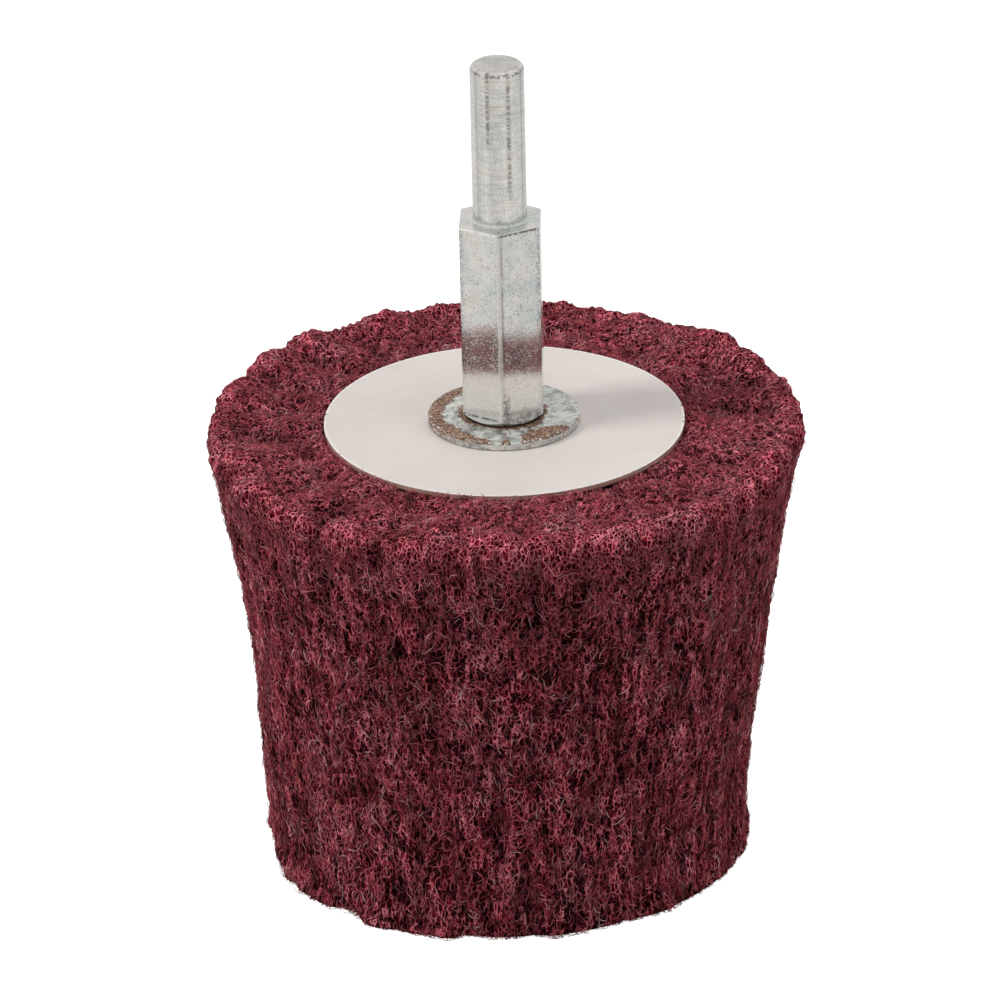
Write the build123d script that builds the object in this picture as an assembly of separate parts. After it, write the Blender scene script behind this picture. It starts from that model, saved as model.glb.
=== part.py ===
# Sanding mop: radial flaps of non-woven abrasive web round a hub, clamped on a steel arbor.
# Millimetres. +Z runs up the arbor's axis, and Z = 0 is the plane of the flaps' feet.
import os
from math import cos, radians, sin, tan
from build123d import *

# Flaps: one profile, from the hub out to a side that flares towards the crown
flap_count = 24
flap_height = 50.0
flap_foot_reach = 27.2
flap_waist_reach = 28.4
flap_waist_height = 20.0
flap_crown_reach = 33.4
crown_round = 2.5
foot_round = 0.8
flap_gap = 0.2
flap_edge_round = 0.8

# Hub: a moulded prism with one flat for each flap, and a pocket for the nut in its underside
hub_reach = 13.0
hub_foot_gap = 1.0
pocket_radius = 10.0
pocket_depth = 13.0
pocket_mouth_chamfer = 0.6

# Card discs glued to the ends of the flap pack
upper_card_radius = 20.0
upper_card_thickness = 0.6
lower_card_radius = 19.5
lower_card_thickness = 0.6
lower_card_hole_radius = 10.3
card_edge_clearance = 0.3

# Steel tube that takes the clamping load through the hub
tube_outer_radius = 4.5
tube_bore_radius = 3.2
tube_fit = 0.03

# Plain washers
upper_washer_radius = 8.45
upper_washer_thickness = 1.0
lower_washer_radius = 8.5
lower_washer_thickness = 1.0
washer_bore_clearance = 0.2
washer_edge_round = 0.25

# Arbor, turned from hexagon bar: round shank, hexagon body, threaded stud
shank_radius = 3.0
shank_length = 18.3
shank_end_round = 0.75
shank_foot_round = 0.3
hexagon_across_flats = 8.85
hexagon_length = 23.4
hexagon_foot_radius = 4.1
hexagon_foot_slope = 42.0
hexagon_edge_round = 0.35
hexagon_head_round = 0.15
stud_radius = 3.0
stud_end_chamfer = 0.6
stud_below_nut = 1.5
thread_pitch = 1.0
thread_depth = 0.5
thread_length = 12.0

# Nut on the stud's thread
nut_across_flats = 10.0
nut_height = 5.0
nut_thread_clearance = 0.05
nut_corner_slope = 30.0
nut_mouth_chamfer = 0.5

# Heights that the sizes above set
seat_z = pocket_depth
nut_top_z = seat_z - lower_washer_thickness
nut_foot_z = nut_top_z - nut_height
stud_end_z = nut_foot_z - stud_below_nut
upper_card_z = flap_height
upper_washer_z = upper_card_z + upper_card_thickness
hexagon_z = upper_washer_z + upper_washer_thickness
shank_z = hexagon_z + hexagon_length
shank_end_z = shank_z + shank_length
lower_card_z = hub_foot_gap - lower_card_thickness
flap_pitch = 360.0 / flap_count


def ring(outer_radius, inner_radius, foot, height):
    """A flat ring round the axis, from foot up by height."""
    section = Circle(outer_radius) - Circle(inner_radius)
    return extrude(Pos(0, 0, foot) * section, height)


def turned(points):
    """A solid of revolution from its half outline, given as (radius, height) pairs."""
    outline = make_face(Polyline([(r, 0, z) for r, z in points], close=True))
    return revolve(outline, Axis.Z)


def flap_section():
    """Half section of the flap pack, in the XZ plane."""
    relief = lower_card_radius + card_edge_clearance
    inner = hub_reach / 2
    foot = (flap_foot_reach, 0, 0)
    waist = (flap_waist_reach, 0, flap_waist_height)
    crown = (flap_crown_reach, 0, flap_height)
    side = ThreePointArc(foot, waist, crown)
    lead = Polyline(crown, (inner, 0, flap_height), (inner, 0, hub_foot_gap), (relief, 0, hub_foot_gap),
                    (relief, 0, 0), foot)
    return make_face([side, lead])


def flap_wedge():
    """Plan of one flap, its sides half a gap inside the lines between flaps."""
    slope = tan(radians(flap_pitch / 2))
    apex = flap_gap / 2 / sin(radians(flap_pitch / 2))
    far = flap_crown_reach + crown_round
    near_half = (hub_reach - apex) * slope
    far_half = (far - apex) * slope
    plan = make_face(Polyline((hub_reach, -near_half), (far, -far_half), (far, far_half),
                              (hub_reach, near_half), close=True))
    return extrude(plan, flap_height)


def rims_of(solid, radius):
    """The circular edges of one radius."""
    return solid.edges().filter_by(GeomType.CIRCLE).filter_by(lambda e: abs(e.radius - radius) < 1e-6)


def outer_side_edges(flap):
    """The edges where a flap's two sides meet its top, its outer face and its foot."""
    half_angle = radians(flap_pitch / 2)
    apex = flap_gap / 2 / sin(half_angle)
    clear = lower_card_radius + card_edge_clearance + 0.01

    def is_outer(edge):
        ends = (edge @ 0, edge @ 0.5, edge @ 1)
        on_side = all(abs(abs(p.Y) - (p.X - apex) * tan(half_angle)) < 1e-4 for p in ends)
        return on_side and max(ends[0].X, ends[2].X) > clear

    return flap.edges().filter_by(is_outer)


def make_flap():
    """One flap, pointing along +X."""
    pack = revolve(flap_section(), Axis.Z)
    pack = fillet(rims_of(pack, flap_crown_reach), crown_round)
    pack = fillet(rims_of(pack, flap_foot_reach), foot_round)
    flap = pack & flap_wedge()
    return fillet(outer_side_edges(flap), flap_edge_round)


def make_flaps():
    """All flaps, named by their place round the hub."""
    flap = make_flap()
    return {f"flap_{i + 1:02d}": Rot(0, 0, i * flap_pitch) * flap for i in range(flap_count)}


def make_hub():
    """Hub with its bore for the tube and the nut's pocket."""
    plan = RegularPolygon(hub_reach, flap_count, major_radius=False, rotation=flap_pitch / 2)
    body = extrude(Pos(0, 0, hub_foot_gap) * plan, flap_height - hub_foot_gap)
    bore = Pos(0, 0, seat_z) * extrude(Circle(tube_outer_radius + tube_fit), flap_height - seat_z)
    mouth = pocket_radius + pocket_mouth_chamfer
    pocket = turned([(0, 0), (mouth, 0), (mouth, hub_foot_gap),
                     (pocket_radius, hub_foot_gap + pocket_mouth_chamfer), (pocket_radius, seat_z), (0, seat_z)])
    return body - bore - pocket


def make_upper_card():
    return ring(upper_card_radius, tube_outer_radius + tube_fit, upper_card_z, upper_card_thickness)


def make_lower_card():
    return ring(lower_card_radius, lower_card_hole_radius, lower_card_z, lower_card_thickness)


def make_tube():
    return ring(tube_outer_radius, tube_bore_radius, seat_z, upper_washer_z - seat_z)


def make_washer(radius, thickness, foot):
    washer = ring(radius, stud_radius + washer_bore_clearance, foot, thickness)
    return fillet(rims_of(washer, radius), washer_edge_round)


def make_stud():
    """The stud, with its thread drawn as one V groove for each turn."""
    crest = stud_radius
    root = crest - thread_depth
    outline = [(0, stud_end_z), (crest - stud_end_chamfer, stud_end_z), (crest, stud_end_z + stud_end_chamfer)]
    turns = int((thread_length - stud_end_chamfer) / thread_pitch)
    for turn in range(turns):
        z = stud_end_z + stud_end_chamfer + turn * thread_pitch
        outline += [(crest, z + 0.1 * thread_pitch), (root, z + 0.5 * thread_pitch), (crest, z + 0.9 * thread_pitch)]
    outline += [(crest, hexagon_z), (0, hexagon_z)]
    return turned(outline)


def make_hexagon():
    """Hexagon body, its foot turned to a round seat and one corner facing -Y."""
    corner = hexagon_across_flats / 2 / cos(radians(30))
    plan = RegularPolygon(hexagon_across_flats / 2, 6, major_radius=False, rotation=30)
    bar = extrude(Pos(0, 0, hexagon_z) * plan, hexagon_length)
    bar = fillet(bar.edges().filter_by(Axis.Z), hexagon_edge_round)
    bar = fillet(bar.edges().group_by(Axis.Z)[-1], hexagon_head_round)
    rise = (corner - hexagon_foot_radius) * tan(radians(hexagon_foot_slope))
    envelope = turned([(0, hexagon_z), (hexagon_foot_radius, hexagon_z), (corner, hexagon_z + rise),
                       (corner, shank_z), (0, shank_z)])
    return bar & envelope


def make_shank():
    shank = Pos(0, 0, shank_z) * extrude(Circle(shank_radius), shank_length)
    tip = shank.edges().sort_by(Axis.Z)[-1]
    return fillet(tip, shank_end_round)


def make_arbor():
    arbor = make_stud() + make_hexagon() + make_shank()
    foot = rims_of(arbor, shank_radius).filter_by(lambda e: abs(e.center().Z - shank_z) < 1e-6)
    return fillet(foot, shank_foot_round)


def make_nut():
    """Hexagon nut with its corners turned off at both ends."""
    corner = nut_across_flats / 2 / cos(radians(30))
    face = nut_across_flats / 2
    rise = (corner - face) * tan(radians(nut_corner_slope))
    plan = RegularPolygon(nut_across_flats / 2, 6, major_radius=False)
    block = extrude(Pos(0, 0, nut_foot_z) * plan, nut_height)
    envelope = turned([(0, nut_foot_z), (face, nut_foot_z), (corner, nut_foot_z + rise),
                       (corner, nut_top_z - rise), (face, nut_top_z), (0, nut_top_z)])
    bore = stud_radius + nut_thread_clearance
    mouth = bore + nut_mouth_chamfer
    hole = turned([(0, nut_foot_z), (mouth, nut_foot_z), (bore, nut_foot_z + nut_mouth_chamfer),
                   (bore, nut_top_z - nut_mouth_chamfer), (mouth, nut_top_z), (0, nut_top_z)])
    return (block & envelope) - hole


def make_parts():
    parts = {
        "arbor": make_arbor(),
        "upper_washer": make_washer(upper_washer_radius, upper_washer_thickness, upper_washer_z),
        "upper_card_disc": make_upper_card(),
        "clamp_tube": make_tube(),
        "hub": make_hub(),
        "lower_card_disc": make_lower_card(),
        "lower_washer": make_washer(lower_washer_radius, lower_washer_thickness, nut_top_z),
        "clamp_nut": make_nut(),
    }
    parts.update(make_flaps())
    return parts


os.makedirs("parts", exist_ok=True)
for name, shape in make_parts().items():
    export_step(shape, f"parts/{name}.step")
    print(name, round(shape.volume, 2))
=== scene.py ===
import itertools
import math
import bmesh
import bpy
import numpy as np
from mathutils import Matrix, Vector


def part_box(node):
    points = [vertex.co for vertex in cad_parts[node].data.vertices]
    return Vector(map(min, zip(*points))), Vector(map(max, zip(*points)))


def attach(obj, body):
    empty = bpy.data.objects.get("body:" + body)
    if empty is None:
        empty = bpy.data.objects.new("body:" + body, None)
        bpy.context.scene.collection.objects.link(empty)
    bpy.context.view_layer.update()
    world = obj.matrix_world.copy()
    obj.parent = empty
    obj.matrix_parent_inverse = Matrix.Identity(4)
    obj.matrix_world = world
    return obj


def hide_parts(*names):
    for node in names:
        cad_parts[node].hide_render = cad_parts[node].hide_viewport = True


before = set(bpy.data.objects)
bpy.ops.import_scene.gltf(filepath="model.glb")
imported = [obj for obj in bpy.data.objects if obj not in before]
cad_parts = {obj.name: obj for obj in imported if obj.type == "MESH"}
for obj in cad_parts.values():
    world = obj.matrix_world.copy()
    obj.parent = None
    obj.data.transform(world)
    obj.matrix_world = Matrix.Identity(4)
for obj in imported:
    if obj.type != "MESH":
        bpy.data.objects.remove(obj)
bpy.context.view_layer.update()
mm = 0.001
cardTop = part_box("upper_card_disc")[1].z
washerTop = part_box("upper_washer")[1].z
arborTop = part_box("arbor")[1].z
print("frame loaded")


# Shader helpers: colours are written as sRGB hex, places and pattern sizes in millimetres
def linear(hexColour):
    channels = [int(hexColour[i:i + 2], 16) / 255 for i in (1, 3, 5)]
    return [c / 12.92 if c <= 0.04045 else ((c + 0.055) / 1.055) ** 2.4 for c in channels] + [1.0]


def setNode(tree, node, settings):
    # A setting is an input's value, an output to link to it, or a property; stops are those of a colour ramp
    for name, value in settings.items():
        if name == "stops":
            elements = node.color_ramp.elements
            while len(elements) < len(value):
                elements.new(0.5)
            for element, (place, tone) in zip(elements, value):
                element.position = place
                element.color = linear(tone) if isinstance(tone, str) else [tone] * 3 + [1]
        elif isinstance(value, bpy.types.NodeSocket):
            tree.links.new(value, node.inputs[name])
        elif isinstance(name, int) or name in node.inputs:
            node.inputs[name].default_value = linear(value) if isinstance(value, str) else value
        else:
            setattr(node, name, value)


def addNode(tree, kind, settings=None, output=0):
    # Adds a node with its settings and links, and gives one of its outputs
    node = tree.nodes.new("ShaderNode" + kind)
    setNode(tree, node, settings or {})
    return node.outputs[output] if node.outputs else None


def newMaterial(name):
    material = bpy.data.materials.new(name)
    material.use_nodes = True
    tree = material.node_tree
    return material, tree, tree.nodes["Principled BSDF"]


def millimetres(tree, stretch=(1, 1, 1)):
    # Below one, the stretch draws a pattern out along that axis
    place = addNode(tree, "TexCoord", output="Object")
    return addNode(tree, "Mapping", {"Vector": place, "Scale": [1000 * s for s in stretch]})


def polarOf(tree, place):
    # Distance from the axis, angle round it in degrees, and height
    parts = addNode(tree, "SeparateXYZ", {"Vector": place}).node.outputs
    level = addNode(tree, "CombineXYZ", {"X": parts["X"], "Y": parts["Y"]})
    radius = addNode(tree, "VectorMath", {"operation": "LENGTH", 0: level}, "Value")
    turn = addNode(tree, "Math", {"operation": "ARCTAN2", 0: parts["Y"], 1: parts["X"]})
    angle = addNode(tree, "Math", {"operation": "MULTIPLY", 0: turn, 1: 180 / math.pi})
    return radius, angle, parts["Z"]


def farFrom(tree, value, centre):
    offset = addNode(tree, "Math", {"operation": "SUBTRACT", 0: value, 1: centre})
    return addNode(tree, "Math", {"operation": "ABSOLUTE", 0: offset})


def maskOf(tree, *parts):
    # One where all its parts are. A part is another mask, or a value with the two numbers between which it
    # rises from 0 to 1, or falls where the first is the larger
    mask = None
    for part in parts:
        if isinstance(part, tuple):
            value, start, end = part
            part = addNode(tree, "MapRange", {"Value": value, "From Min": start, "From Max": end})
        mask = part if mask is None else addNode(tree, "Math", {"operation": "MULTIPLY", 0: mask, 1: part})
    return mask


def speckles(tree, place, size, start, end, detail=2.0, rough=0.5):
    # A mask of spots of a size: the noise's values between the two numbers are their soft edges
    noise = {"Vector": place, "Scale": 1 / size, "Detail": detail, "Roughness": rough}
    return maskOf(tree, (addNode(tree, "TexNoise", noise), start, end))


def clouds(tree, place, size, stops, detail=2.0, rough=0.5):
    # Patches of a size, in the tones or colours of the stops
    noise = {"Vector": place, "Scale": 1 / size, "Detail": detail, "Roughness": rough}
    return addNode(tree, "ValToRGB", {"Fac": addNode(tree, "TexNoise", noise), "stops": stops})


def shadedBy(tree, colour, *shades):
    for shade in shades:
        settings = {"data_type": "RGBA", "blend_type": "MULTIPLY", 0: 1.0, 6: colour, 7: shade}
        colour = addNode(tree, "Mix", settings, 2)
    return colour


def laidOver(tree, colour, mask, top, strength=1.0):
    # The colour with another over it where the mask is one
    if strength < 1.0:
        mask = addNode(tree, "Math", {"operation": "MULTIPLY", 0: mask, 1: strength})
    return addNode(tree, "Mix", {"data_type": "RGBA", 0: mask, 6: colour, 7: top}, 2)


def dulled(tree, metal, mask, share):
    # Less of the metal's shine where the mask is one
    left = addNode(tree, "Math", {"operation": "MULTIPLY_ADD", 0: mask, 1: -share, 2: 1.0})
    return addNode(tree, "Math", {"operation": "MULTIPLY", 0: metal, 1: left})


# The camera stands about a metre away with a long lens, a little above the mop
cameraValues = {
    "lens": 324.0,  # millimetres on a 36 mm sensor
    "elevation": 25.2,
    "azimuth": 2.8,
    "roll": -0.022,
    "distance": 0.9977,
    "across": -0.000669,  # how far the eye stands off the disc's centre
    "above": -0.008921,
}


def makeCamera(v):
    azimuth, elevation = math.radians(v["azimuth"]), math.radians(v["elevation"])
    flat = math.cos(elevation)
    back = Vector((math.sin(azimuth) * flat, -math.cos(azimuth) * flat, math.sin(elevation)))
    level = Vector((math.cos(azimuth), math.sin(azimuth), 0))
    upright = level.cross(-back)
    eye = Vector((0, 0, cardTop)) + v["distance"] * back + v["across"] * level + v["above"] * upright
    c, s = math.cos(v["roll"]), math.sin(v["roll"])
    right, up = c * level + s * upright, c * upright - s * level
    data = bpy.data.cameras.new("camera")
    data.lens = v["lens"]
    data.sensor_width = 36
    data.clip_start, data.clip_end = 0.01, 20
    camera = bpy.data.objects.new("camera", data)
    bpy.context.scene.collection.objects.link(camera)
    camera.matrix_world = Matrix.Translation(eye) @ Matrix((right, up, back)).transposed().to_4x4()
    bpy.context.scene.camera = camera


makeCamera(cameraValues)
print("camera placed")

# Non-woven web: crimped nylon fibres bonded with resin and abrasive grain. The eye sees a dull maroon
# thicket with dark pits. Each flap is a dark core, painted shade for the web's depth, with loose fibres
# arched over its outer faces.
webValues = {
    "count": 24,
    # its outline, in millimetres
    "footReach": 27.15, "waistReach": 28.4, "waistHeight": 20.0, "crownReach": 33.25,
    "innerHeight": 49.85, "rimHeight": 50.45,  # the cut ends stand up a little towards the rim
    "crownRound": 1.9, "footRound": 0.4, "footLift": 0.1,
    "topInner": 19.4, "footInner": 20.3, "rootReach": 13.1, "rootLift": 1.1,
    # its puffs, in millimetres
    "broad": 0.34, "middle": 0.20, "fine": 0.16, "dales": 0.65, "tufts": 0.4, "spikes": 0.6,
    "valleys": (0.1, 0.75), "valleyWidth": 1.4, "valleySeed": 5,
    "wander": 0.09,  # how far a seam between flaps strays, as a share of a flap
    "edgeWidth": 4,  # of the ragged cut edge round the crown
    "collar": 0.48,  # the web stands up a little round the card disc
    "backRise": 0.75,
    "dips": ((66, 0.3), (112, 0.22)), "dipWidth": 0.22,  # where the crown stands lower: degrees, how far
    "footFlare": 0.5, "frontFlare": 0.75, "kick": (-134, 0.4, 0.7),  # a spot where the foot spreads more
    "leanRight": (1.0, 7, 10), "leanLeft": (0.45, 13, 9),  # it leans to one side: how far, height, spread
    # its core: what stands below the card disc stays off it
    "coreStep": 0.33, "coreSink": 0.28, "lowest": 0.12,
    "discEdge": 20.15, "besideDisc": 0.6, "freeFrom": 23,
    # its fibres: headings in degrees, on the sides and on the cut ends
    "fibres": 2550, "fibreRadius": 0.034, "fibreStep": 0.37, "fibrePoints": 5, "seed": 7,
    "spread": (19, 90), "crimp": (17, 27), "rimSpread": 40, "curl": 10,
    "fibreLowest": 0.06, "fibreDiscEdge": 20.08, "underDisc": 0.08,
    # its looks: pattern sizes in millimetres, and stops as a place on a ramp with its tone or colour
    "clouds": (4.5, [(0.32, "#d2b2aa"), (0.48, "#ffd8dd"), (0.62, "#fff4f2")]),
    "streaks": (1.5, [(0.38, 0.5), (0.56, 0.97)]),
    "hollows": [(0.16, 0.36), (0.46, 0.98), (0.7, 1.25)],
    # pits painted near black, as the shade deep in the web
    "pits": (0.62, [(0.46, 0.0), (0.54, 1.0)]), "pitShadeColour": "#020000",
    # Strands below the surface, deepest first: size of a mesh between them, half a strand as a share of it,
    # shift and colour. Real ones are too thin and too close to show in the render, so these are drawn nearly
    # a tenth of a millimetre wide
    # deeper strands are darker: painted shade in the web's depth
    "strands": ((0.28, 0.15, 31.0, "#300510"), (0.36, 0.12, 17.0, "#a0304a"), (0.46, 0.1, 5.0, "#ec9ba5")),
    # fibre tones from deep to high: the deep ones painted dark as shade, the palest ones painted glints
    "fibreShadeAndGlintTones": [(0.0, "#300510"), (0.3, "#9a2c45"), (0.6, "#dd7583"), (0.9, "#f0b0b7"),
                   (1.0, "#fbe2da")],
    "crownLightColour": "#ff98a4",
}

# Layers of smooth noise on the web: the size of a cell in millimetres, and the seed
webNoise = {
    "broad": ((3.4, 3.4, 7.0), 11),
    "middle": ((1.1, 1.1, 2.6), 12),
    "fine": ((0.55, 0.55, 1.2), 13),
    "tufts": ((3.0, 3.0, 3.0), 14),
    "flare": ((3.0, 3.0, 3.0), 15),
    "wander": ((6.0, 6.0, 9.0), 16),
    "valleys": ((9.0, 9.0, 6.0), 17),
    "spikes": ((0.8, 0.8, 0.8), 18),
    "dales": ((4.5, 4.5, 4.5), 19),
    "streaks": ((0.5, 0.5, 2.1), 21),
}


def cornerArc(before, corner, after, radius, steps):
    toFirst = (before - corner) / np.linalg.norm(before - corner)
    toSecond = (after - corner) / np.linalg.norm(after - corner)
    half = math.acos(float(np.clip(toFirst @ toSecond, -1, 1))) / 2
    middle = toFirst + toSecond
    centre = corner + middle / np.linalg.norm(middle) * radius / math.sin(half)
    start = corner + toFirst * radius / math.tan(half)
    end = corner + toSecond * radius / math.tan(half)
    a, b = start - centre, end - centre
    turn = math.acos(float(np.clip(a @ b / radius ** 2, -1, 1)))
    return [centre + (math.sin((1 - t) * turn) * a + math.sin(t * turn) * b) / math.sin(turn)
            for t in np.linspace(0, 1, steps)]


def webOutline(v):
    # Outer outline in radius and height, from the foot's inner edge round to under the disc
    heights = np.linspace(v["footLift"], v["rimHeight"], 60)
    reach = np.polyfit([0, v["waistHeight"], v["rimHeight"]],
                       [v["footReach"], v["waistReach"], v["crownReach"]], 2)
    side = np.stack([np.polyval(reach, heights), heights], 1)
    footInner = np.array([v["footInner"], v["footLift"]])
    topInner = np.array([v["topInner"], v["innerHeight"]])
    foot = cornerArc(footInner, side[0], side[5], v["footRound"], 6)
    crown = cornerArc(side[-9], side[-1], topInner, v["crownRound"], 12)
    middle = [p for p in side if foot[-1][1] + 0.4 < p[1] < crown[0][1] - 0.4]
    line = np.array([footInner, *foot, *middle, *crown, topInner])
    along = np.concatenate([[0], np.cumsum(np.linalg.norm(np.diff(line, axis=0), axis=1))])
    dense = np.linspace(0, along[-1], 400)
    points = np.stack([np.interp(dense, along, line[:, i]) for i in (0, 1)], 1)
    tangent = np.gradient(points, axis=0)
    tangent /= np.linalg.norm(tangent, axis=1)[:, None]
    normal = np.stack([tangent[:, 1], -tangent[:, 0]], 1)
    return {"s": dense, "point": points, "normal": normal}


outline = webOutline(webValues)
crownPlace = float(outline["s"][np.argmax(outline["point"].sum(1))])


def outlineAt(s):
    point = [np.interp(s, outline["s"], outline["point"][:, i]) for i in (0, 1)]
    normal = [np.interp(s, outline["s"], outline["normal"][:, i]) for i in (0, 1)]
    return point[0], point[1], normal[0], normal[1]


def placeOn(s, turn, lift):
    r, z, nr, nz = outlineAt(s)
    reach = r + nr * lift
    return np.stack([reach * np.cos(turn), reach * np.sin(turn), z + nz * lift], 1)


def noiseAt(points, layer):
    # Smooth random values between -1 and 1 on a grid of cells
    cell, seed = webNoise[layer]
    table = np.random.default_rng(seed).random((40, 40, 40)) * 2 - 1
    place = points / np.asarray(cell)
    whole = np.floor(place).astype(int)
    part = place - whole
    part = part * part * (3 - 2 * part)
    total = np.zeros(len(points))
    for corner in itertools.product((0, 1), repeat=3):
        weight = np.prod(np.where(np.array(corner) == 1, part, 1 - part), axis=1)
        cells = (whole + corner) % len(table)
        total += weight * table[cells[:, 0], cells[:, 1], cells[:, 2]]
    return total


def within(value):
    return np.clip(value, 0, 1)


def rimNearness(s):
    return within(1.6 - np.abs(s - crownPlace) / 2)


def bellAt(turn, degrees, width):
    # One at an angle round the axis, and nothing well past the width in radians
    away = np.mod(turn - math.radians(degrees) + math.pi, 2 * math.pi) - math.pi
    return np.exp(-(away / width) ** 2)


def puffOf(s, turn, v):
    # How far the web stands off the outline, in millimetres, and how open it lies to the light
    r, z, nr, nz = outlineAt(s)
    spot = placeOn(s, turn, np.zeros_like(s))
    pitch = 2 * math.pi / v["count"]
    onTop = within(nz) * within((r - 20.5) / 3)
    edge = within(1 - np.abs(s - crownPlace) / v["edgeWidth"])

    # Valleys where flaps meet: deeper towards the crown, shallow again beside the card disc
    wander = v["wander"] * noiseAt(spot, "wander")
    seam = np.floor(turn / pitch + wander).astype(int) % v["count"]
    fromSeam = (turn / pitch + wander) % 1 - 0.5
    depth = np.random.default_rng(v["valleySeed"]).uniform(*v["valleys"], v["count"])[seam]
    depth = depth * within(0.6 + 0.8 * noiseAt(spot, "valleys"))
    crown = within((z - 25) / 22)
    fade = np.exp(-(fromSeam * pitch * r / v["valleyWidth"]) ** 2)
    valley = -depth * (0.2 + 0.8 * crown + 0.7 * onTop) * fade
    valley = valley * np.where(nz > 0.5, np.clip((r - 20.3) / 2.5, 0.2, 1), 1)

    # Puffs of three sizes, and the cut ends' tufts and stray spikes
    broad = v["broad"] * noiseAt(spot, "broad")
    middle = v["middle"] * noiseAt(spot, "middle")
    dale = v["dales"] * noiseAt(spot, "dales") * onTop
    spikes = np.abs(noiseAt(spot, "spikes")) ** 1.5
    tuft = edge * (v["tufts"] * noiseAt(spot, "tufts") + v["spikes"] * spikes)

    # The foot spreads on the ground, except on the right
    kickPlace, kickWidth, kick = v["kick"]
    flare = v["footFlare"] * (1 - within(np.cos(turn))) + v["frontFlare"] * within(-np.sin(turn))
    flare = flare + kick * bellAt(turn, kickPlace, kickWidth)
    flare = flare * (1 + 0.7 * noiseAt(spot, "flare")) * np.exp(-z / 2.5) * (nr > 0.2)

    # The pack leans to the left low down
    rightBy, rightHeight, rightSpread = v["leanRight"]
    leftBy, leftHeight, leftSpread = v["leanLeft"]
    right = -rightBy * within(np.cos(turn)) * np.exp(-((z - rightHeight) / rightSpread) ** 2)
    left = leftBy * within(-np.cos(turn)) * np.exp(-((z - leftHeight) / leftSpread) ** 2)
    lean = (right + left) * within(nr)

    # The crown stands higher behind, with two dips, and round the card disc
    behind = within(np.sin(turn))
    rise = v["backRise"] * edge * within(0.55 + 0.9 * np.sin(turn)) * (1 - 0.4 * behind ** 5)
    for where, drop in v["dips"]:
        rise = rise - drop * edge * bellAt(turn, where, v["dipWidth"])
    beside = np.exp(-np.clip(r - 20.5, 0, 14) / 8)
    collar = v["collar"] * within((r - 20.05) / 0.25) * beside * (nr < 0.9)

    relief = valley + broad + middle + dale
    # Painted light: the rim and the cut ends count as more open, so they are painted lighter
    openness = relief + 0.2 * rimNearness(s) + 0.22 * onTop
    return relief + tuft + flare + rise + collar + lean, openness


def coreMesh(flap, v):
    # A closed wedge spun from the outline, then pushed in and out
    pitch = 2 * math.pi / v["count"]
    longest = outline["s"][-1]
    places = np.linspace(0, longest, int(longest / v["coreStep"]))
    r, z, nr, nz = outlineAt(places)
    bm = bmesh.new()
    start = -pitch / 2
    ring = [bm.verts.new((a * math.cos(start), a * math.sin(start), b)) for a, b in zip(r, z)]
    root, lift = v["rootReach"], v["rootLift"]
    inner = [(root, v["innerHeight"]), (root, lift), (v["footInner"], lift)]
    ring += [bm.verts.new((a * math.cos(start), a * math.sin(start), b)) for a, b in inner]
    face = bm.faces.new(ring)
    steps = int(pitch * v["crownReach"] / v["coreStep"])
    bmesh.ops.spin(bm, geom=[face], cent=(0, 0, 0), axis=(0, 0, 1), angle=pitch, steps=steps)
    bmesh.ops.recalc_face_normals(bm, faces=bm.faces)
    for edge in {e for f in bm.faces if len(f.verts) > 4 for e in f.edges}:
        edge.smooth = False
    bm.verts.ensure_lookup_table()
    co = np.array([p.co for p in bm.verts])
    reach, turn = np.hypot(co[:, 0], co[:, 1]), np.arctan2(co[:, 1], co[:, 0])
    line = outline["point"]
    away = (reach[:, None] - line[None, :, 0]) ** 2 + (co[:, 2][:, None] - line[None, :, 1]) ** 2
    nearest = away.argmin(1)
    outer = away[np.arange(len(co)), nearest] < 0.12 ** 2  # the rest are the roots, which stay in place
    s = outline["s"][nearest]
    turn = turn + flap * pitch
    spot = placeOn(s, turn, np.zeros_like(s))
    sunk = v["coreSink"] * np.clip((reach - 18.5) / 2, 0.2, 1) * (1 - 0.75 * rimNearness(s))
    puff, relief = puffOf(s, turn, v)
    moved = placeOn(s, turn, puff + v["fine"] * noiseAt(spot, "fine") - sunk)
    kept = Matrix.Rotation(flap * pitch, 3, "Z")
    for i, vert in enumerate(bm.verts):
        vert.co = Vector(moved[i]) if outer[i] else kept @ vert.co
        vert.co.z = max(vert.co.z, v["lowest"])
        if vert.co.xy.length <= v["freeFrom"]:
            beside = v["besideDisc"] if vert.co.xy.length > v["discEdge"] else 0
            vert.co.z = min(vert.co.z, v["innerHeight"] + beside)
    bm.normal_update()
    bmesh.ops.triangulate(bm, faces=[f for f in bm.faces if len(f.verts) > 4])
    mesh = bpy.data.meshes.new(f"core{flap}")
    bm.to_mesh(mesh)
    bm.free()
    return mesh, relief


def fibreSection():
    # Fibres are drawn with three sides: they are less than a tenth of a millimetre thick
    curve = bpy.data.curves.new("fibreSection", "CURVE")
    spline = curve.splines.new("POLY")
    spline.points.add(2)
    for i, point in enumerate(spline.points):
        turn = 2 * math.pi * i / 3
        point.co = (math.cos(turn), math.sin(turn), 0, 1)
    spline.use_cyclic_u = True
    section = bpy.data.objects.new("fibreSection", curve)
    bpy.context.scene.collection.objects.link(section)
    return section


section = fibreSection()


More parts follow.
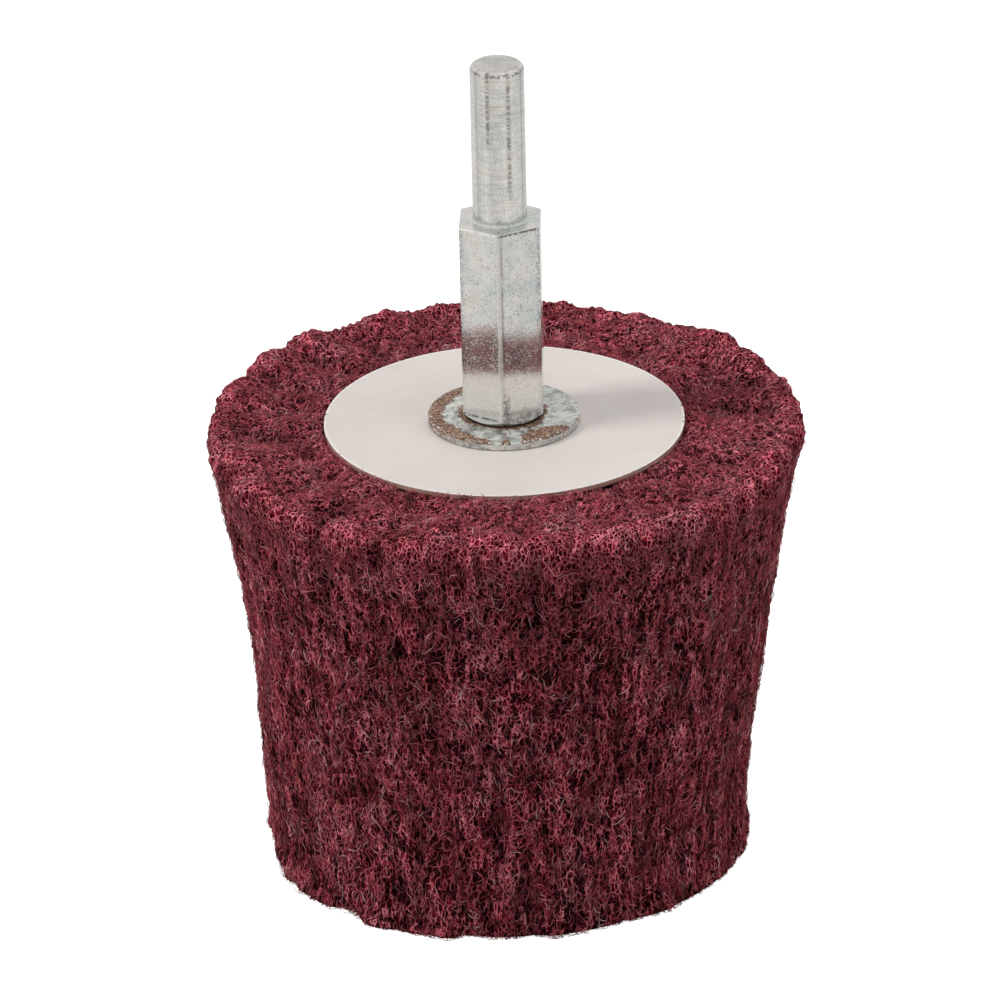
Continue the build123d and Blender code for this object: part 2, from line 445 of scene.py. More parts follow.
def fibrePaths(flap, v):
    rng = np.random.default_rng(v["seed"] * 1000 + flap)
    pitch = 2 * math.pi / v["count"]
    longest = outline["s"][-1]
    count, points = v["fibres"], v["fibrePoints"]

    # Where the fibres start: crowded in upright streaks and on the cut ends, few under the card disc
    many = int(count * 1.8)
    s = rng.uniform(0.3, longest - 0.2, many)
    r, z, nr, nz = outlineAt(s)
    turn = rng.uniform(-pitch / 2, pitch / 2, many) + flap * pitch
    streak = noiseAt(placeOn(s, turn, np.zeros(many)), "streaks")
    crowded = np.where(r < 19.9, 0.3, 1 + 0.5 * within(nz))
    wanted = (r / v["crownReach"]) * np.clip(0.5 + 1.5 * streak, 0.03, 1) * crowded
    keep = np.argsort(rng.random(many) / wanted)[:count]
    s, turn, nz = s[keep], turn[keep], nz[keep]

    # How they run: mostly up and down on the sides, every way on the cut ends
    side, up, rim = within(1 - np.abs(nz)), within(nz), rimNearness(s)
    sideSpread, topSpread = (math.radians(a) for a in v["spread"])
    sideCrimp, topCrimp = (math.radians(a) for a in v["crimp"])
    spread = sideSpread * side + topSpread * (1 - side)
    crimp = sideCrimp * side + topCrimp * (1 - side)
    spread = spread + math.radians(v["rimSpread"]) * rim * side
    heading = rng.normal(0, 1, count) * spread + math.pi * rng.integers(0, 2, count)
    curl = rng.normal(0, math.radians(v["curl"]), count)
    step = v["fibreStep"] * rng.uniform(0.6, 1.5, count) * (1 - 0.3 * up - 0.12 * rim)
    base = -0.42 + 0.34 * rng.random(count)
    tall = rng.uniform(0.02, 0.26, count) * (1 + 1.3 * up) * (1 - 0.55 * rim)
    loose = rng.random(count) < (0.02 + 0.3 * up) * (1 - 0.7 * rim)  # these stand off at one end
    paths = np.zeros((count, points, 3))
    relief = puffOf(s, turn, v)[1]
    for j in range(points):
        t = j / (points - 1)
        lift = base + np.where(loose, (tall + 0.2) * t, tall * math.sin(math.pi * t))
        paths[:, j] = placeOn(s, turn, puffOf(s, turn, v)[0] + lift)
        heading = heading + curl + rng.normal(0, 1, count) * crimp
        r, z, nr, nz = outlineAt(s)
        s = np.clip(s + step * np.cos(heading), 0.05 + 0.02 * j, longest - 0.02 * j)
        limit = pitch * 0.55 - 0.0005 * j
        turn = np.clip(turn + step * np.sin(heading) / r, flap * pitch - limit, flap * pitch + limit)

    # Painted light and shade: high fibres and those on the cut ends are paler than deep ones, and the palest
    # are painted glints
    chance = rng.normal(0, 0.23 + 0.06 * up, count)
    tone = within(0.25 + 0.85 * (base + tall + 0.3) + 0.09 * up + chance)
    radius = v["fibreRadius"] * rng.uniform(0.75, 1.3, count) * (1 - 0.15 * np.maximum(up, rim))
    reach = np.hypot(paths[..., 0], paths[..., 1])
    highest = np.where(reach < v["fibreDiscEdge"], v["innerHeight"] + v["underDisc"], np.inf)
    paths[..., 2] = np.clip(paths[..., 2], v["fibreLowest"], highest)
    return paths, radius, tone, relief


def fibreMesh(flap, v):
    paths, radius, tone, relief = fibrePaths(flap, v)
    curve = bpy.data.curves.new(f"fibres{flap}", "CURVE")
    curve.dimensions = "3D"
    curve.bevel_mode = "OBJECT"
    curve.bevel_object = section
    curve.use_fill_caps = True
    taper = np.ones(v["fibrePoints"])
    taper[[0, -1]] = 0.5
    flat = np.ones((v["fibrePoints"], 4))
    for i in range(len(paths)):
        spline = curve.splines.new("POLY")
        spline.points.add(v["fibrePoints"] - 1)
        flat[:, :3] = paths[i]
        spline.points.foreach_set("co", flat.ravel())
        spline.points.foreach_set("radius", radius[i] * taper)
    holder = bpy.data.objects.new(f"fibres{flap}", curve)
    bpy.context.scene.collection.objects.link(holder)
    depsgraph = bpy.context.evaluated_depsgraph_get()
    mesh = bpy.data.meshes.new_from_object(holder.evaluated_get(depsgraph), depsgraph=depsgraph)
    bpy.data.objects.remove(holder)
    each = len(mesh.vertices) // len(paths)
    return mesh, np.repeat(tone, each), np.repeat(relief, each)


def makeFlap(flap, v, materials):
    name = f"web_{flap + 1:02d}"
    core, coreOpenToLight = coreMesh(flap, v)
    fibres, tone, fibreOpenToLight = fibreMesh(flap, v)
    bm = bmesh.new()
    bm.from_mesh(core)
    coreFaces, coreVerts = len(bm.faces), len(bm.verts)
    bm.from_mesh(fibres)
    bmesh.ops.scale(bm, vec=(mm, mm, mm), verts=bm.verts)
    mesh = bpy.data.meshes.new(name)
    bm.to_mesh(mesh)
    bm.free()
    tones = np.concatenate([np.zeros(coreVerts), tone])
    # How open each point lies to the light, for the painted shade and light in webShade
    relief = within(0.5 + 0.5 * np.concatenate([coreOpenToLight, fibreOpenToLight]))
    for label, values in (("fibreTone", tones), ("webRelief", relief)):
        mesh.attributes.new(label, "FLOAT", "POINT").data.foreach_set("value", values.astype(np.float32))
    slots = np.ones(len(mesh.polygons), np.int32)
    slots[:coreFaces] = 0
    for material in materials:
        mesh.materials.append(material)
    mesh.polygons.foreach_set("material_index", slots)
    mesh.polygons.foreach_set("use_smooth", np.ones(len(slots), bool))
    web = bpy.data.objects.new(name, mesh)
    bpy.context.scene.collection.objects.link(web)
    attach(web, "mop")
    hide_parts(f"flap_{flap + 1:02d}")
    return coreFaces, len(mesh.polygons)


def fibreNet(tree, place, size, wide, shift):
    # A tangle of crimped strands: one where the factor is near one, nothing between them
    moved = addNode(tree, "VectorMath", {"operation": "ADD", 0: place, 1: (shift, shift, shift)})
    shake = addNode(tree, "TexNoise", {"Vector": moved, "Scale": 2.2, "Detail": 1.5}, "Color")
    bend = (0.45, 0.45, 0.45)
    bent = addNode(tree, "VectorMath", {"operation": "MULTIPLY_ADD", 0: shake, 1: bend, 2: moved})
    cells = {"feature": "DISTANCE_TO_EDGE", "Vector": bent, "Scale": 1 / size}
    fromStrand = addNode(tree, "TexVoronoi", cells, "Distance")
    stops = [(0.0, 1.0), (wide * 0.5, 0.85), (wide, 0.0)]
    return addNode(tree, "ValToRGB", {"Fac": fromStrand, "stops": stops})


def webShade(tree, colour, v):
    # Broad clouds of redder and browner resin, painted shade in soft upright streaks where the layers lie
    # deeper, and painted shade in the hollows with painted light on the open tops, because light comes into
    # the web only from the open side
    cloud = clouds(tree, millimetres(tree), *v["clouds"])
    streak = clouds(tree, millimetres(tree, (1, 1, 0.12)), *v["streaks"])
    relief = addNode(tree, "Attribute", {"attribute_name": "webRelief"}, "Fac")
    hollow = addNode(tree, "ValToRGB", {"Fac": relief, "stops": v["hollows"]})
    return shadedBy(tree, colour, cloud, streak, hollow)


def webCoreMaterial(v):
    # Matt resin in the web's depth: painted shade as black-red pits between three layers of bonded strands,
    # the deeper ones darker
    material, tree, shader = newMaterial("nylonWebDeepResinAndShade")
    place = millimetres(tree, (1, 1, 0.5))
    radius, _, height = polarOf(tree, millimetres(tree))
    pitShade = clouds(tree, millimetres(tree, (1, 1, 0.27)), *v["pits"], 1.5)
    crown = maskOf(tree, (height, 44.5, 48.0), (radius, 29.5, 31.5))
    pitShade = laidOver(tree, pitShade, crown, "#ffffff", 0.5)  # painted light: half the pits' painted shade round the crown
    shallow = addNode(tree, "ValToRGB", {"Fac": pitShade, "stops": [(0.0, 0.12), (1.0, 1.0)]})
    colour = v["pitShadeColour"]
    # Painted shade: pits hide the middle layer and dim the upper one
    for (size, wide, shift, resin), shades in zip(v["strands"], ([], [pitShade], [shallow])):
        strands = shadedBy(tree, fibreNet(tree, place, size, wide, shift), *shades)
        colour = laidOver(tree, colour, strands, resin)
    colour = webShade(tree, colour, v)
    setNode(tree, shader, {"Base Color": colour, "Roughness": 0.95, "Specular IOR Level": 0.0})
    return material


def webFibreMaterial(v):
    # Nylon fibre coated with maroon resin: dull, with a weak shine where the resin is smooth
    material, tree, shader = newMaterial("nylonFibreMaroonResin")
    tone = addNode(tree, "Attribute", {"attribute_name": "fibreTone"}, "Fac")
    colour = webShade(tree, addNode(tree, "ValToRGB", {"Fac": tone, "stops": v["fibreShadeAndGlintTones"]}), v)
    height = addNode(tree, "SeparateXYZ", {"Vector": millimetres(tree)}, "Z")
    crownLight = maskOf(tree, (height, 32.0, 50.0))  # painted light: the web is painted paler towards the crown, where more light falls
    colour = laidOver(tree, colour, crownLight, v["crownLightColour"], 0.15)
    setNode(tree, shader, {"Base Color": colour, "Roughness": 0.55, "Specular IOR Level": 0.2})
    return material


webMaterials = [webCoreMaterial(webValues), webFibreMaterial(webValues)]
for flapIndex in range(webValues["count"]):
    faces = makeFlap(flapIndex, webValues, webMaterials)
    print("flap", flapIndex + 1, "faces in the core and in all", faces)
bpy.data.objects.remove(section)
print("web flaps made")


def wear(node, material):
    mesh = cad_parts[node].data
    mesh.materials.clear()
    mesh.materials.append(material)


# Zinc plate: pattern sizes in millimetres. Its crystals are too fine to show, so they are drawn coarser
zincValues = {
    "cloudSize": 2.6, "greenTint": (0.34, "#c9cfcb"), "paleTints": ((0.56, "#dddcd8"), (0.66, "#dad4cc")),
    "pitSize": 0.24, "pitTones": [(0.28, "#6a6765"), (0.38, "#bdbcba"), (0.45, "#ffffff")],
    "crowdSize": 1.5, "patchSize": 1.1, "crystalSize": 0.15, "dullSize": 0.7,
    "skinSize": 0.3, "skinDepth": 0.005,
}


def zincFinish(tree, shader, place, base, v=zincValues):
    # Electroplated zinc: faint green, white and straw clouds, dark pits where it crowds, and dull pale
    # crystals that break up what it mirrors
    tints = [v["greenTint"], (0.46, base), *v["paleTints"]]
    colour = clouds(tree, place, v["cloudSize"], tints, 3.0, 0.55)
    pits = clouds(tree, place, v["pitSize"], v["pitTones"], 2.0, 0.6)
    crowd = speckles(tree, place, v["crowdSize"], 0.4, 0.62)
    crowd = addNode(tree, "Math", {"operation": "MULTIPLY_ADD", 0: crowd, 1: 0.5, 2: 0.12})
    colour = laidOver(tree, colour, crowd, shadedBy(tree, colour, pits))

    patches = addNode(tree, "TexNoise", {"Vector": place, "Scale": 1 / v["patchSize"]})
    patches = addNode(tree, "Math", {"operation": "MULTIPLY", 0: patches, 1: 0.3})
    grain = {"Vector": place, "Scale": 1 / v["crystalSize"], "Roughness": 0.65}
    grains = addNode(tree, "TexNoise", grain)
    grains = addNode(tree, "Math", {"operation": "ADD", 0: grains, 1: patches})
    crystals = maskOf(tree, (grains, 0.7, 0.78))
    rough = addNode(tree, "TexNoise", {"Vector": place, "Scale": 1 / v["dullSize"]})
    rough = addNode(tree, "Math", {"operation": "MULTIPLY_ADD", 0: rough, 1: 0.1, 2: 0.05})
    rough = addNode(tree, "Math", {"operation": "MULTIPLY_ADD", 0: crystals, 1: 0.3, 2: rough})
    metal = addNode(tree, "Math", {"operation": "MULTIPLY_ADD", 0: crystals, 1: -0.6, 2: 0.86})

    uneven = {"Vector": place, "Scale": 1 / v["skinSize"], "Detail": 3.0, "Roughness": 0.6}
    skin = addNode(tree, "TexNoise", uneven)
    bump = addNode(tree, "Bump", {"Strength": 1.0, "Distance": v["skinDepth"] * mm, "Height": skin})
    setNode(tree, shader, {"Roughness": rough, "Normal": bump})
    return colour, metal


def zincPlate(name, base="#d4d4cf"):
    material, tree, shader = newMaterial(name)
    colour, metal = zincFinish(tree, shader, millimetres(tree), base)
    setNode(tree, shader, {"Base Color": colour, "Metallic": metal})
    return material


# Arbor: marks left by the lathe and the chuck on the shank, worn plating along the hexagon's edges, and
# painted reflections, highlights and shade on both.
# Heights and reaches are in millimetres, angles in degrees
arborValues = {
    "base": "#d2d3ce",
    "streaks": ((-109.4, 83.0), (-64.4, 77.5)),  # where each runs down the shank: angle, lowest height
    "shades": ((-138.5, 5.0, 0.35), (-121.0, 3.0, 0.12), (-28.0, 6.0, 0.3)),  # angle, half width, strength
    "ringsFrom": 87.3, "ringsTo": 89.6,
    "hexagonFoot": washerTop / mm, "hexagonTop": 75.0, "shankEnd": arborTop / mm,
    "cornerReach": 4.9, "frontCorner": -90.0, "crease": -86.5, "bruise": -84.0,
}


def shankFinish(tree, colour, place, angle, height, radius, v):
    # Turned steel: painted reflections in soft bands down it, fine lathe lines round it, and streaks from
    # the chuck's jaws
    onShank = maskOf(tree, (height, v["hexagonTop"] + 0.5, v["hexagonTop"] + 0.9))
    onSide = maskOf(tree, (radius, 2.3, 2.8))
    bands = clouds(tree, millimetres(tree, (1, 1, 0.03)), 1.1, [(0.36, 0.84), (0.6, 1.0)], 1.0)
    lathe = clouds(tree, millimetres(tree, (0.4, 0.4, 4.0)), 0.8, [(0.38, 0.84), (0.54, 1.0)])
    bright = addNode(tree, "Mix", {"data_type": "RGBA", 0: 0.34, 6: colour, 7: "#fbf6ec"}, 2)
    turned = shadedBy(tree, bright, shadedBy(tree, bands, lathe))
    colour = laidOver(tree, colour, onShank, turned)

    ticks = speckles(tree, millimetres(tree, (0.5, 0.5, 3.2)), 0.8, 0.46, 0.56)
    for where, lowest in v["streaks"]:
        away = farFrom(tree, angle, where)
        reached = maskOf(tree, onSide, (height, lowest, lowest + 2.5))
        colour = laidOver(tree, colour, maskOf(tree, (away, 8.0, 3.0), reached), "#8b8883", 0.3)
        colour = laidOver(tree, colour, maskOf(tree, (away, 5.0, 1.8), reached, ticks), "#57534f", 0.6)
    # Painted reflections: grey bands down the shank's side at given angles
    for where, half, strength in v["shades"]:
        shade = maskOf(tree, (farFrom(tree, angle, where), half, half * 0.3), onShank, onSide)
        colour = laidOver(tree, colour, shade, "#7f8b8c", strength)

    endFace = maskOf(tree, (height, v["shankEnd"] - 0.12, v["shankEnd"] - 0.04))
    lines = speckles(tree, millimetres(tree, (0.12, 0.12, 3.0)), 1.1, 0.5, 0.6, 1.0)
    rings = maskOf(tree, lines, (height, v["ringsFrom"] - 0.6, v["ringsFrom"]),
                   (height, v["ringsTo"] + 0.4, v["ringsTo"]))
    endRim = maskOf(tree, speckles(tree, place, 0.3, 0.46, 0.54),
                    (height, v["shankEnd"] - 0.75, v["shankEnd"] - 0.6),
                    (height, v["shankEnd"] - 0.25, v["shankEnd"] - 0.4), onShank)
    marks = ((endFace, 0.3, "#8f8d88"), (rings, 0.22, "#96928e"), (endRim, 0.75, "#6b625c"))
    for mask, strength, tone in marks:
        colour = laidOver(tree, colour, mask, tone, strength)
    return colour


def arborSteel(v):
    material, tree, shader = newMaterial("zincPlatedTurnedSteel")
    place = millimetres(tree)
    radius, angle, height = polarOf(tree, place)
    colour, metal = zincFinish(tree, shader, place, v["base"])
    colour = shankFinish(tree, colour, place, angle, height, radius, v)

    # The hexagon's corners: worn dark at the sides, and a painted highlight down the front corner with a
    # crease beside it
    reach = v["cornerReach"]
    belowTop = (height, v["hexagonTop"] + 0.1, v["hexagonTop"] - 0.1)
    fromFront = farFrom(tree, angle, v["frontCorner"])
    corner = maskOf(tree, speckles(tree, place, 0.3, 0.46, 0.54), (radius, reach - 0.1, reach), belowTop)
    sideCorner = maskOf(tree, corner, (fromFront, 30.0, 50.0), (radius, reach + 0.04, reach + 0.1))
    cornerHighlight = maskOf(tree, (radius, reach + 0.02, reach + 0.1), belowTop, (fromFront, 50.0, 30.0))
    crease = maskOf(tree, (farFrom(tree, angle, v["crease"]), 1.6, 0.6),
                    speckles(tree, millimetres(tree, (1, 1, 0.3)), 0.9, 0.4, 0.5, 3.0),
                    (radius, reach - 0.3, reach - 0.1), belowTop)

    # Its top edge: a painted highlight on the left face and painted shade on the right one
    topEdge = maskOf(tree, speckles(tree, place, 0.4, 0.36, 0.46),
                     (height, v["hexagonTop"] - 0.4, v["hexagonTop"] - 0.25),
                     (height, v["hexagonTop"] - 0.05, v["hexagonTop"] - 0.12), (radius, 3.9, 4.1))
    edgeHighlightAndShade = laidOver(tree, "#f8f4ee", maskOf(tree, (angle, -93.0, -89.0)), "#4f4944")

    # Its foot: pale dull plating, partly a painted reflection of the white card below, with grey smudges on
    # the right face and a dark line on the left one
    foot = v["hexagonFoot"]
    dullFootAndCardReflection = maskOf(tree, (height, foot + 7.4, foot + 6.4), (radius, 3.8, 4.0))
    smudge = maskOf(tree, speckles(tree, place, 0.6, 0.45, 0.56, 4.0, 0.75),
                    (height, foot + 2.4, foot + 0.8), (angle, -93.0, -86.0))
    bruise = maskOf(tree, speckles(tree, place, 0.5, 0.44, 0.52, 4.0, 0.75),
                    (farFrom(tree, angle, v["bruise"]), 7.0, 3.0), (height, foot + 5.2, foot + 3.2))
    grey = addNode(tree, "Math", {"operation": "MAXIMUM", 0: smudge, 1: bruise})
    footLine = maskOf(tree, (farFrom(tree, height, foot + 0.95), 0.22, 0.08),
                      speckles(tree, place, 0.8, 0.42, 0.5, 3.0), (angle, -93.0, -97.0))
    marks = (
        (corner, 0.3, "#8b8781"), (sideCorner, 0.3, "#5f5a55"), (cornerHighlight, 0.55, "#f4f0e7"),
        (crease, 0.5, "#77736e"), (topEdge, 0.85, edgeHighlightAndShade), (dullFootAndCardReflection, 0.6, "#f2f3f0"),
        (grey, 0.7, "#5c5854"), (footLine, 0.75, "#4a443f"),
    )
    for mask, strength, tone in marks:
        colour = laidOver(tree, colour, mask, tone, strength)
    # Less shine under the painted corner highlight, so it stays pale
    metal = dulled(tree, metal, cornerHighlight, 0.6)
    # Dull low on the hexagon, where the pale foot and the card's painted reflection are
    metal = dulled(tree, metal, maskOf(tree, (height, foot + 3.2, foot + 1.2)), 0.75)
    setNode(tree, shader, {"Base Color": colour, "Metallic": metal})
    return material


# Upper washer: the plating has worn through to brown steel along part of the rim and round the hexagon
washerValues = {
    "base": "#bcc0bd",
    # angle in degrees, and how far out the plating reaches there in centimetres
    "plateReach": (
        (-180, 0.67), (-176, 0.67), (-156, 0.68), (-136, 0.66), (-116, 0.71), (-100, 0.76), (-94, 0.9),
        (-91, 0.9), (-86, 0.67), (-81, 0.9), (-75, 0.9), (-71, 0.66), (-58, 0.6), (-41, 0.62),
        (-31, 0.7), (-25, 0.9), (-18, 0.9), (-13, 0.81), (-8, 0.9), (34, 0.88), (74, 0.9), (116, 0.88),
        (128, 0.72), (154, 0.64), (169, 0.68), (180, 0.67),
    ),
    # the same for the bare ring round the hexagon
    "bareRound": (
        (-180, 0.53), (-176, 0.53), (-146, 0.52), (-116, 0.48), (-91, 0.475), (-71, 0.5), (-46, 0.53),
        (-16, 0.48), (64, 0.48), (154, 0.49), (180, 0.53),
    ),
    "ragged": 2.4,  # millimetres between the ends of a worn edge's teeth
    # how far out the painted shadow under the hexagon's foot reaches, in millimetres
    "footShadowReach": 4.42,
    "wallTop": washerTop / mm - 0.2, "wallBareTo": -134,
}


def wornWasher(v):
    material, tree, shader = newMaterial("wornZincWasher")
    place = millimetres(tree)
    radius, angle, height = polarOf(tree, place)

    # What is left of the plating: dull clean patches and dark smudges
    colour, metal = zincFinish(tree, shader, place, v["base"])
    clean = speckles(tree, place, 1.4, 0.47, 0.55, 3.0, 0.6)
    colour = laidOver(tree, colour, clean, "#e6e4de", 0.6)
    metal = dulled(tree, metal, clean, 0.6)
    colour = laidOver(tree, colour, speckles(tree, place, 0.8, 0.49, 0.57, 5.0, 0.8), "#6d6861", 0.65)

    # Where it is gone: past its reach, but not on most of the wall, and round the hexagon
    around = addNode(tree, "Math", {"operation": "MULTIPLY_ADD", 0: angle, 1: 1 / 360, 2: 0.5})
    teeth = addNode(tree, "TexNoise", {"Vector": place, "Scale": 1 / 0.45, "Detail": 4.0, "Roughness": 0.75})
    ragged = v["ragged"]
    teeth = addNode(tree, "Math", {"operation": "MULTIPLY_ADD", 0: teeth, 1: ragged, 2: -ragged / 2})
    shaken = addNode(tree, "Math", {"operation": "ADD", 0: radius, 1: teeth})
    beyond = []
    for table in (v["plateReach"], v["bareRound"]):
        stops = [((a + 180) / 360, r) for a, r in table]
        reach = addNode(tree, "ValToRGB", {"Fac": around, "stops": stops})
        beyond.append(addNode(tree, "Math", {"operation": "MULTIPLY_ADD", 0: reach, 1: -10.0, 2: shaken}))
    pastPlate = maskOf(tree, (beyond[0], -0.05, 0.05))
    nearHexagon = maskOf(tree, (beyond[1], 0.05, -0.05))
    chips = addNode(tree, "TexNoise", {"Vector": place, "Scale": 1 / 0.3})
    nearRim = maskOf(tree, (radius, 7.8, 8.3))
    chips = addNode(tree, "Math", {"operation": "MULTIPLY_ADD", 0: nearRim, 1: 0.12, 2: chips})
    onWall = maskOf(tree, (height, v["wallTop"], v["wallTop"] - 0.1),
                    (angle, v["wallBareTo"] - 12, v["wallBareTo"] + 6))
    offWall = addNode(tree, "Math", {"operation": "SUBTRACT", 0: 1.0, 1: onWall})
    worn = maskOf(tree, pastPlate, (chips, 0.7, 0.66), offWall)
    bare = addNode(tree, "Math", {"operation": "MAXIMUM", 0: worn, 1: nearHexagon})

    # Brown steel there, darker along the plating's edge, and a painted black shadow in the gap under the
    # hexagon's foot
    brown = clouds(tree, place, 0.26, [(0.38, "#2a1a14"), (0.5, "#7c5b4a"), (0.64, "#bd9e88")], 3.0, 0.7)
    brink = maskOf(tree, (addNode(tree, "Math", {"operation": "ABSOLUTE", 0: beyond[0]}), 0.16, 0.04))
    colour = laidOver(tree, colour, bare, laidOver(tree, brown, brink, "#35251c", 0.7))
    footShadow = maskOf(tree, (radius, v["footShadowReach"] + 0.1, v["footShadowReach"] - 0.15))
    colour = laidOver(tree, colour, footShadow, "#140c08")
    covered = addNode(tree, "Math", {"operation": "MAXIMUM", 0: bare, 1: footShadow})
    left = addNode(tree, "Math", {"operation": "SUBTRACT", 0: 1.0, 1: covered})
    metal = addNode(tree, "Math", {"operation": "MULTIPLY", 0: metal, 1: left})
    rough = addNode(tree, "Math", {"operation": "MULTIPLY_ADD", 0: covered, 1: 0.35, 2: 0.3})
    setNode(tree, shader, {"Base Color": colour, "Metallic": metal, "Roughness": rough})
    return material


# Card discs: grey-brown board between two white faces, cut with a die
cardValues = {
    "rim": 19.72,  # where the pressed lip starts
    # the palest edge bands, next to the white face, are a painted highlight on the lip
    "edgeBandsAndHighlight": ((0.0, "#6d4f44"), (0.25, "#a08072"), (0.5, "#cbac9e"), (0.66, "#a48373"),
                  (0.85, "#c7aa9c"), (0.94, "#e8ddd6")),  # from the back to the white face
    "faceSize": 8.0, "faceTones": [(0.35, "#dad1cc"), (0.65, "#e0d8d3")],
    "markSize": 0.45, "markColour": "#a2948a", "lipHighlightColour": "#f4efec",
    "nickSize": 0.7, "nickColour": "#9a887b",
}


def whiteCard(name, v, foot, thickness, faceUp):
    material, tree, shader = newMaterial(name)
    place = millimetres(tree)
    radius, _, height = polarOf(tree, place)
    ends = (foot, foot + thickness) if faceUp else (foot + thickness, foot)
    level = maskOf(tree, (height, *ends))

    # The white face: a pressed lip with a painted highlight along it, and a few marks and nicks
    face = clouds(tree, place, v["faceSize"], v["faceTones"], 3.0)
    dots = speckles(tree, place, v["markSize"], 0.7, 0.76, 3.0)
    face = laidOver(tree, face, dots, v["markColour"], 0.35)
    lip = maskOf(tree, (radius, v["rim"], v["rim"] + 0.12))
    face = laidOver(tree, face, lip, v["lipHighlightColour"], 0.85)
    nicks = maskOf(tree, speckles(tree, place, v["nickSize"], 0.6, 0.66, 3.0), lip)
    face = laidOver(tree, face, nicks, v["nickColour"], 0.8)

    # The cut edge: bands of grey-brown board, with a painted highlight along the lip next to the white face
    waver = addNode(tree, "TexNoise", {"Vector": place, "Scale": 1 / 0.6, "Detail": 3.0})
    waver = addNode(tree, "Math", {"operation": "MULTIPLY_ADD", 0: waver, 1: 0.3, 2: -0.15})
    shaken = addNode(tree, "Math", {"operation": "ADD", 0: level, 1: waver})
    edge = addNode(tree, "ValToRGB", {"Fac": shaken, "stops": v["edgeBandsAndHighlight"]})
    onFace = addNode(tree, "Math", {"operation": "GREATER_THAN", 0: level, 1: 0.985})
    fibres = addNode(tree, "TexNoise", {"Vector": place, "Scale": 1 / 0.3, "Detail": 3.0})
    bump = addNode(tree, "Bump", {"Strength": 0.5, "Distance": 0.01 * mm, "Height": fibres})
    colour = laidOver(tree, edge, onFace, face)
    setNode(tree, shader, {"Base Color": colour, "Roughness": 0.55, "Normal": bump})
    return material


def mouldedResin():
    # Cast resin core: dull dark brown
    material, tree, shader = newMaterial("castResinBrown")
    colour = clouds(tree, millimetres(tree), 2.5, [(0.3, "#3a2621"), (0.7, "#4c342c")], 3.0)
    setNode(tree, shader, {"Base Color": colour, "Roughness": 0.6})
    return material


# The tube is bare drawn steel: it has the plating's mottled look on a darker grey
wear("arbor", arborSteel(arborValues))
wear("clamp_nut", zincPlate("zincPlatedNut"))
wear("upper_washer", wornWasher(washerValues))
wear("lower_washer", zincPlate("zincPlatedWasher"))
wear("clamp_tube", zincPlate("drawnSteelTube", "#a9a6a0"))
wear("hub", mouldedResin())
for node, name, faceUp in (("upper_card_disc", "whiteFacedBoardUpper", True),
                           ("lower_card_disc", "whiteFacedBoardLower", False)):
    low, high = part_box(node)
    wear(node, whiteCard(name, cardValues, low.z / mm, (high.z - low.z) / mm, faceUp))
print("CAD pieces finished")

# Floor, world and lights
studioValues = {
    "floorSide": 8.0, "floorTone": 0.5, "floorGlow": 0.85, "floorShine": 0.42,
    "keyPower": 26.0, "keySize": 0.6, "keyPlace": (-1.68, -0.5, 1.4),
    "topPower": 22.0, "topSize": 2.4, "topPlace": (0.1, 0.1, 2.0),
    "fillPower": 10.0, "fillSize": 1.6, "fillPlace": (1.6, -0.6, 0.9),
    "aim": (0, 0, 0.04),
    "skyStrength": 0.17, "skyShine": 0.85,
}
white = (1, 1, 1, 1)


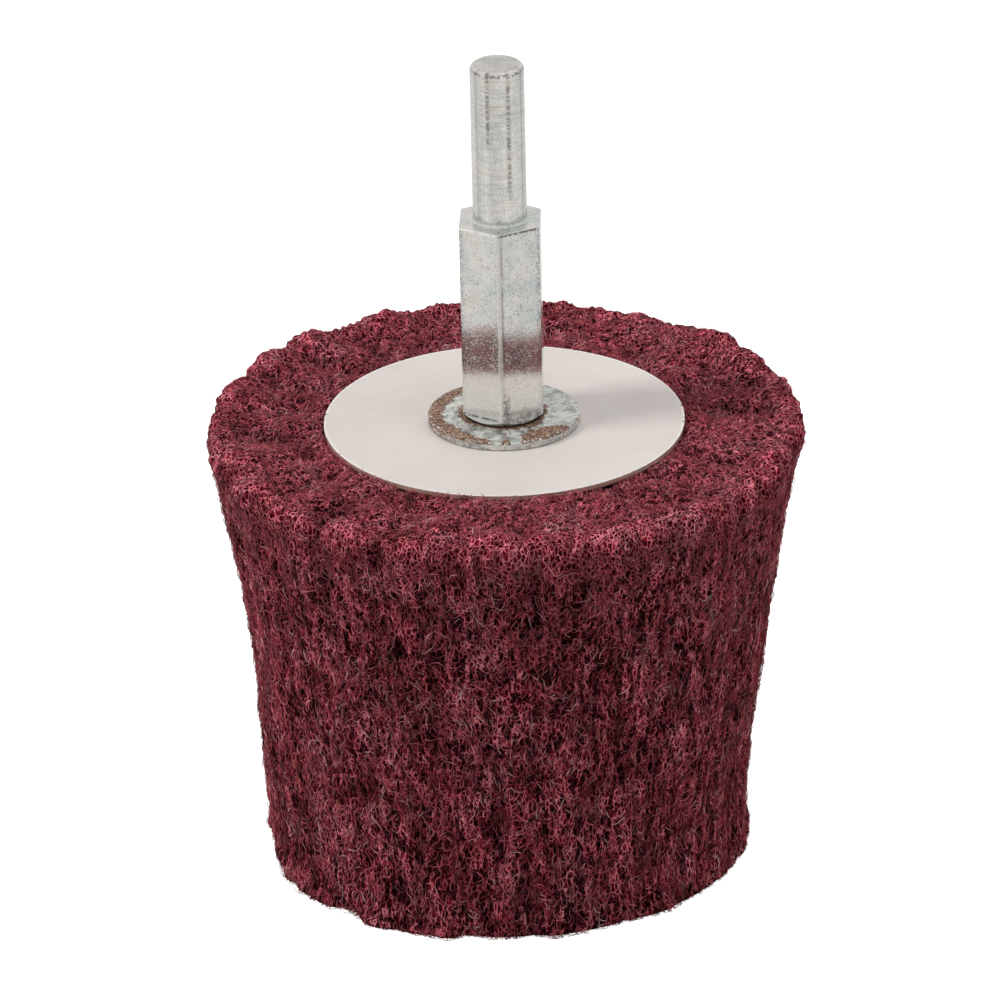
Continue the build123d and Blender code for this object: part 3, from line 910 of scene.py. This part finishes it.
def makeFloor(v):
    bm = bmesh.new()
    bmesh.ops.create_grid(bm, x_segments=1, y_segments=1, size=v["floorSide"] / 2)
    mesh = bpy.data.meshes.new("floor")
    bm.to_mesh(mesh)
    bm.free()
    floor = bpy.data.objects.new("floor", mesh)
    bpy.context.scene.collection.objects.link(floor)
    material = bpy.data.materials.new("paleFloor")
    material.use_nodes = True
    tree = material.node_tree
    tree.nodes.clear()
    rays = addNode(tree, "LightPath").node.outputs
    matt = addNode(tree, "BsdfDiffuse", {"Color": [v["floorTone"]] * 3 + [1]})
    direct, through = rays["Is Camera Ray"], rays["Is Transmission Ray"]
    seen = addNode(tree, "Math", {"operation": "MAXIMUM", 0: direct, 1: through})
    seen = addNode(tree, "Math", {"operation": "MULTIPLY", 0: seen, 1: v["floorGlow"]})
    glossy, shine = rays["Is Glossy Ray"], v["floorShine"]
    mirrored = addNode(tree, "Math", {"operation": "MULTIPLY", 0: glossy, 1: shine})
    strength = addNode(tree, "Math", {"operation": "MAXIMUM", 0: seen, 1: mirrored})
    glow = addNode(tree, "Emission", {"Color": white, "Strength": strength})
    front = addNode(tree, "AddShader", {0: matt, 1: glow})
    below = addNode(tree, "NewGeometry", output="Backfacing")  # clear from below, to show the foot
    shown = addNode(tree, "MixShader", {0: below, 1: front, 2: addNode(tree, "BsdfTransparent")})
    addNode(tree, "OutputMaterial", {"Surface": shown})
    mesh.materials.append(material)


def makeWorld(v):
    world = bpy.data.worlds.new("studio")
    bpy.context.scene.world = world
    world.use_nodes = True
    tree = world.node_tree
    tree.nodes.clear()
    rays = addNode(tree, "LightPath").node.outputs
    sky = addNode(tree, "Background", {"Color": white, "Strength": v["skyStrength"]})
    shine = addNode(tree, "Background", {"Color": white, "Strength": v["skyShine"]})
    backdrop = addNode(tree, "Background", {"Color": white, "Strength": 1.0})
    glossy = addNode(tree, "MixShader", {0: rays["Is Glossy Ray"], 1: sky, 2: shine})
    seen = addNode(tree, "MixShader", {0: rays["Is Camera Ray"], 1: glossy, 2: backdrop})
    addNode(tree, "OutputWorld", {"Surface": seen})


def makeLamp(name, v):
    data = bpy.data.lights.new(name + "Lamp", "AREA")
    data.energy = v[name + "Power"]
    data.size = v[name + "Size"]
    lamp = bpy.data.objects.new(name + "Lamp", data)
    lamp.location = v[name + "Place"]
    lamp.visible_glossy = False  # metal mirrors the even white studio, not the lamps
    lamp.rotation_euler = (Vector(v["aim"]) - lamp.location).to_track_quat("-Z", "Y").to_euler()
    bpy.context.scene.collection.objects.link(lamp)


makeFloor(studioValues)
makeWorld(studioValues)
for lampName in ("key", "top", "fill"):
    makeLamp(lampName, studioValues)
bpy.context.scene.view_settings.view_transform = "Standard"
print("studio ready")
